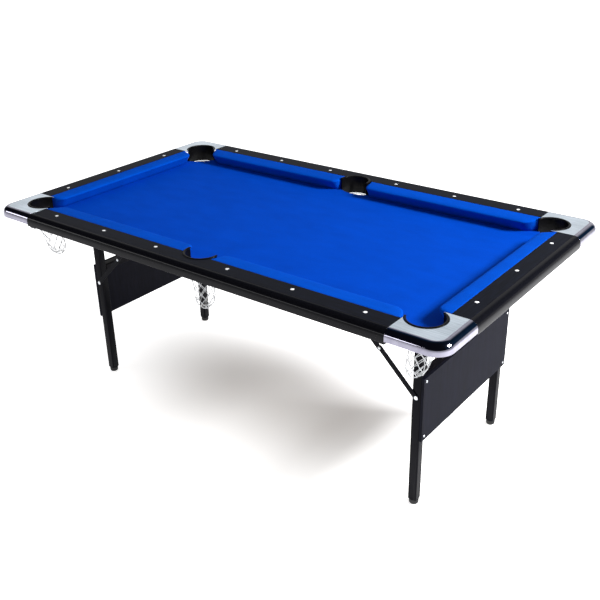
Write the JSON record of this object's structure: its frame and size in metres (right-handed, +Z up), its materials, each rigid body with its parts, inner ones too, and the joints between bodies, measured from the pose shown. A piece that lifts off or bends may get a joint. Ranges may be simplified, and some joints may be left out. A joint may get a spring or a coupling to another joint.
{
  "type": "folding pool table",
  "caption": "Small folding pool table: cloth bed with cushions, dark rails with bright corner castings, net pockets and folding leg frames with braces.",
  "frame": {"origin": "on the floor under the middle of the bed", "axes": "+X along the length, -Y the front long side, +Z up"},
  "size_m": [1.83, 1.074, 0.7452],
  "materials": {
    "felt": "short-napped woven blue cloth, matte with a faint nap",
    "bed_board": "raw pressed fibreboard, sealed underside",
    "rail_laminate": "charcoal laminate, satin, fine open grain",
    "apron_gloss": "glossy black moulded edge",
    "corner_metal": "fine-brushed flat top, polished rounded skirt",
    "pocket_plastic": "black moulded plastic, semi-matte",
    "net_cord": "white braided cord, knotted net",
    "leg_paint": "black powder coat, semi-gloss",
    "panel": "slate-black laminate with a fine upright grain",
    "foot_plastic": "black moulded plastic, glossy"
  },
  "bodies": {
    "table_top": {"bed_board": "bed_board", "bed_cloth": "felt", "apron_front": "apron_gloss", "rail_front": "rail_laminate", "apron_back": "apron_gloss", "rail_back": "rail_laminate", "apron_left": "apron_gloss", "rail_left": "rail_laminate", "apron_right": "apron_gloss", "rail_right": "rail_laminate", "cushion_left": "felt", "cushion_right": "felt", "cushion_front_left": "felt", "corner_casting_front_left": "corner_metal", "cushion_front_right": "felt", "corner_casting_front_right": "corner_metal", "cushion_back_left": "felt", "corner_casting_back_left": "corner_metal", "cushion_back_right": "felt", "corner_casting_back_right": "corner_metal", "pocket_liner_front_left": "pocket_plastic", "net_bag_front_left": "net_cord", "pocket_liner_front_right": "pocket_plastic", "net_bag_front_right": "net_cord", "pocket_liner_back_left": "pocket_plastic", "net_bag_back_left": "net_cord", "pocket_liner_back_right": "pocket_plastic", "net_bag_back_right": "net_cord", "pocket_liner_front_middle": "pocket_plastic", "net_bag_front_middle": "net_cord", "pocket_liner_back_middle": "pocket_plastic", "net_bag_back_middle": "net_cord", "hinge_mount_left": "leg_paint", "hinge_mount_right": "leg_paint", "brace_bracket_front_left": "leg_paint", "brace_bracket_front_right": "leg_paint", "brace_bracket_back_left": "leg_paint", "brace_bracket_back_right": "leg_paint"},
    "leg_frame_left": {"leg_front_left": "leg_paint", "leg_back_left": "leg_paint", "hinge_tube_left": "leg_paint", "crossbar_left": "leg_paint", "leg_panel_left": "panel"},
    "leg_frame_right": {"leg_front_right": "leg_paint", "leg_back_right": "leg_paint", "hinge_tube_right": "leg_paint", "crossbar_right": "leg_paint", "leg_panel_right": "panel"},
    "brace_lower_front_left": {"brace_lower_front_left": "leg_paint"},
    "brace_upper_front_left": {"brace_upper_front_left": "leg_paint"},
    "leveler_front_left": {"leveler_front_left": "foot_plastic"},
    "brace_lower_front_right": {"brace_lower_front_right": "leg_paint"},
    "brace_upper_front_right": {"brace_upper_front_right": "leg_paint"},
    "leveler_front_right": {"leveler_front_right": "foot_plastic"},
    "brace_lower_back_left": {"brace_lower_back_left": "leg_paint"},
    "brace_upper_back_left": {"brace_upper_back_left": "leg_paint"},
    "leveler_back_left": {"leveler_back_left": "foot_plastic"},
    "brace_lower_back_right": {"brace_lower_back_right": "leg_paint"},
    "brace_upper_back_right": {"brace_upper_back_right": "leg_paint"},
    "leveler_back_right": {"leveler_back_right": "foot_plastic"}
  },
  "joints": [
    {"name": "leg_fold_left", "type": "hinge", "parent": "table_top", "child": "leg_frame_left", "pos_m": [-0.704, 0, 0.657], "axis": [0, -1, 0], "range_deg": [0, 90]},
    {"name": "leg_fold_right", "type": "hinge", "parent": "table_top", "child": "leg_frame_right", "pos_m": [0.704, 0, 0.657], "axis": [0, 1, 0], "range_deg": [0, 90]},
    {"name": "brace_lower_pivot_front_left", "type": "hinge", "parent": "leg_frame_left", "child": "brace_lower_front_left", "pos_m": [-0.704, -0.2879, 0.398], "axis": [0, -1, 0], "range_deg": [0, 45]},
    {"name": "brace_upper_pivot_front_left", "type": "hinge", "parent": "table_top", "child": "brace_upper_front_left", "pos_m": [-0.445, -0.2913, 0.657], "axis": [0, 1, 0], "range_deg": [0, 45]},
    {"name": "leveler_travel_front_left", "type": "slide", "parent": "leg_frame_left", "child": "leveler_front_left", "axis": [0, 0, -1], "range_m": [0, 0.012]},
    {"name": "brace_lower_pivot_front_right", "type": "hinge", "parent": "leg_frame_right", "child": "brace_lower_front_right", "pos_m": [0.704, -0.2879, 0.398], "axis": [0, 1, 0], "range_deg": [0, 45]},
    {"name": "brace_upper_pivot_front_right", "type": "hinge", "parent": "table_top", "child": "brace_upper_front_right", "pos_m": [0.445, -0.2913, 0.657], "axis": [0, -1, 0], "range_deg": [0, 45]},
    {"name": "leveler_travel_front_right", "type": "slide", "parent": "leg_frame_right", "child": "leveler_front_right", "axis": [0, 0, -1], "range_m": [0, 0.012]},
    {"name": "brace_lower_pivot_back_left", "type": "hinge", "parent": "leg_frame_left", "child": "brace_lower_back_left", "pos_m": [-0.704, 0.2879, 0.398], "axis": [0, -1, 0], "range_deg": [0, 45]},
    {"name": "brace_upper_pivot_back_left", "type": "hinge", "parent": "table_top", "child": "brace_upper_back_left", "pos_m": [-0.445, 0.2913, 0.657], "axis": [0, 1, 0], "range_deg": [0, 45]},
    {"name": "leveler_travel_back_left", "type": "slide", "parent": "leg_frame_left", "child": "leveler_back_left", "axis": [0, 0, -1], "range_m": [0, 0.012]},
    {"name": "brace_lower_pivot_back_right", "type": "hinge", "parent": "leg_frame_right", "child": "brace_lower_back_right", "pos_m": [0.704, 0.2879, 0.398], "axis": [0, 1, 0], "range_deg": [0, 45]},
    {"name": "brace_upper_pivot_back_right", "type": "hinge", "parent": "table_top", "child": "brace_upper_back_right", "pos_m": [0.445, 0.2913, 0.657], "axis": [0, -1, 0], "range_deg": [0, 45]},
    {"name": "leveler_travel_back_right", "type": "slide", "parent": "leg_frame_right", "child": "leveler_back_right", "axis": [0, 0, -1], "range_m": [0, 0.012]}
  ],
  "couplings": [
    {"joint": "brace_lower_pivot_front_left", "follows": "leg_fold_left", "ratio": 0.5},
    {"joint": "brace_upper_pivot_front_left", "follows": "leg_fold_left", "ratio": 0.5},
    {"joint": "brace_lower_pivot_front_right", "follows": "leg_fold_right", "ratio": 0.5},
    {"joint": "brace_upper_pivot_front_right", "follows": "leg_fold_right", "ratio": 0.5},
    {"joint": "brace_lower_pivot_back_left", "follows": "leg_fold_left", "ratio": 0.5},
    {"joint": "brace_upper_pivot_back_left", "follows": "leg_fold_left", "ratio": 0.5},
    {"joint": "brace_lower_pivot_back_right", "follows": "leg_fold_right", "ratio": 0.5},
    {"joint": "brace_upper_pivot_back_right", "follows": "leg_fold_right", "ratio": 0.5}
  ]
}
